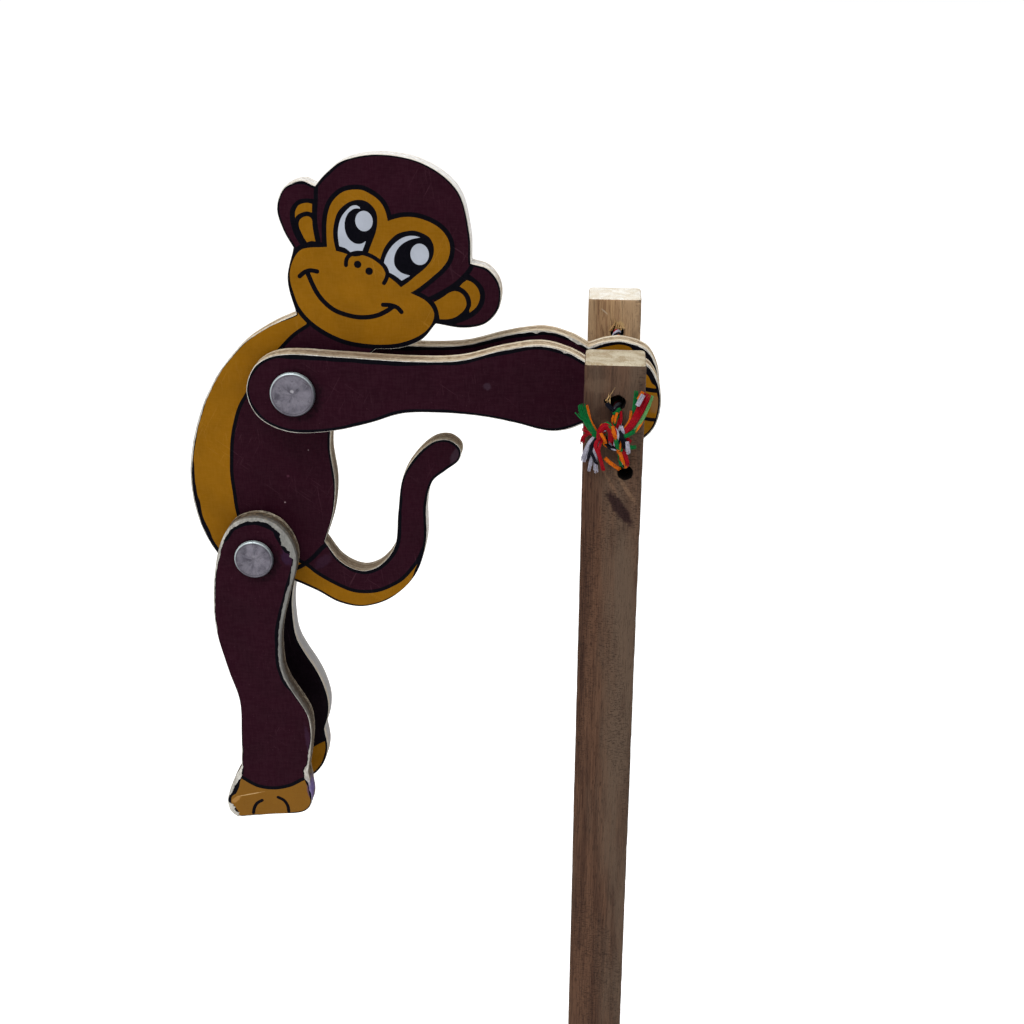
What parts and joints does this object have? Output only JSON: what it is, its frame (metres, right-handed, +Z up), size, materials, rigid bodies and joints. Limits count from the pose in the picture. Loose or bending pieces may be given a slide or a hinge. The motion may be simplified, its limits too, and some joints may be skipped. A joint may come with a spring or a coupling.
{
  "type": "acrobat toy",
  "caption": "Wooden squeeze toy: a jointed flat plywood monkey hangs by its hands on a twisted string between two sticks and tumbles when the sticks are squeezed below their crossbar.",
  "frame": {"origin": "middle of the grip, midway between the two sticks and 45 mm above their lower ends, where finger and thumb squeeze", "axes": "+X from the figure's back towards the sticks, +Y from the front stick to the rear one, +Z up along the sticks"},
  "size_m": [0.1041, 0.07, 0.335],
  "materials": {
    "brown_wood": "weathered brown stick, sawn cream end grain",
    "pale_wood": "bare planed wood",
    "nail_steel": "dull round wire nail",
    "printed_plywood": "three-ply board with a printed face in maroon, ochre and black",
    "grey_metal": "flat grey head, finely scratched",
    "mixed_yarn": "red, orange, green, white and black yarns twisted together"
  },
  "bodies": {
    "crossbar_frame": {"crossbar": "pale_wood", "front_nail": "nail_steel", "rear_nail": "nail_steel", "string_front_upper_span": "mixed_yarn", "string_front_lower_span": "mixed_yarn", "string_rear_upper_span": "mixed_yarn", "string_rear_lower_span": "mixed_yarn"},
    "front_stick": {"front_post": "brown_wood", "string_front_knot": "mixed_yarn", "frayed_end_upper_left": "mixed_yarn", "frayed_end_lower_left": "mixed_yarn", "frayed_end_right": "mixed_yarn"},
    "rear_stick": {"rear_post": "brown_wood", "string_rear_loop": "mixed_yarn"},
    "arms": {"front_arm": "printed_plywood", "rear_arm": "printed_plywood", "shoulder_rivet": "grey_metal", "shoulder_burr": "grey_metal", "string_in_wrists": "mixed_yarn", "string_in_fingers": "mixed_yarn"},
    "torso": {"body_board": "printed_plywood", "hip_rivet": "grey_metal", "hip_burr": "grey_metal"},
    "near_leg": {"front_leg": "printed_plywood"},
    "far_leg": {"rear_leg": "printed_plywood"}
  },
  "joints": [
    {"name": "front_squeeze", "type": "hinge", "parent": "crossbar_frame", "child": "front_stick", "pos_m": [0, -0.021, 0.047], "axis": [1, 0, 0], "range_deg": [-1, 0.8], "stiffness_Nm_per_rad": 10},
    {"name": "rear_squeeze", "type": "hinge", "parent": "crossbar_frame", "child": "rear_stick", "pos_m": [0, 0.021, 0.047], "axis": [1, 0, 0], "range_deg": [-0.8, 1], "stiffness_Nm_per_rad": 10},
    {"name": "arms_swing", "type": "hinge", "parent": "crossbar_frame", "child": "arms", "pos_m": [0.00165, 0, 0.24], "axis": [0, -1, 0], "continuous": true, "deforming": ["string_front_upper_span", "string_front_lower_span", "string_rear_upper_span", "string_rear_lower_span"]},
    {"name": "torso_swing", "type": "hinge", "parent": "arms", "child": "torso", "pos_m": [-0.06855, 0, 0.24], "axis": [0, -1, 0], "range_deg": [-205, 48]},
    {"name": "front_leg_swing", "type": "hinge", "parent": "torso", "child": "near_leg", "pos_m": [-0.07905, 0, 0.2012], "axis": [0, -1, 0], "range_deg": [-75, 45]},
    {"name": "rear_leg_swing", "type": "hinge", "parent": "torso", "child": "far_leg", "pos_m": [-0.07905, 0, 0.2012], "axis": [0, -1, 0], "range_deg": [-75, 45]}
  ],
  "couplings": [
    {"joint": "rear_squeeze", "follows": "front_squeeze", "ratio": -1}
  ]
}
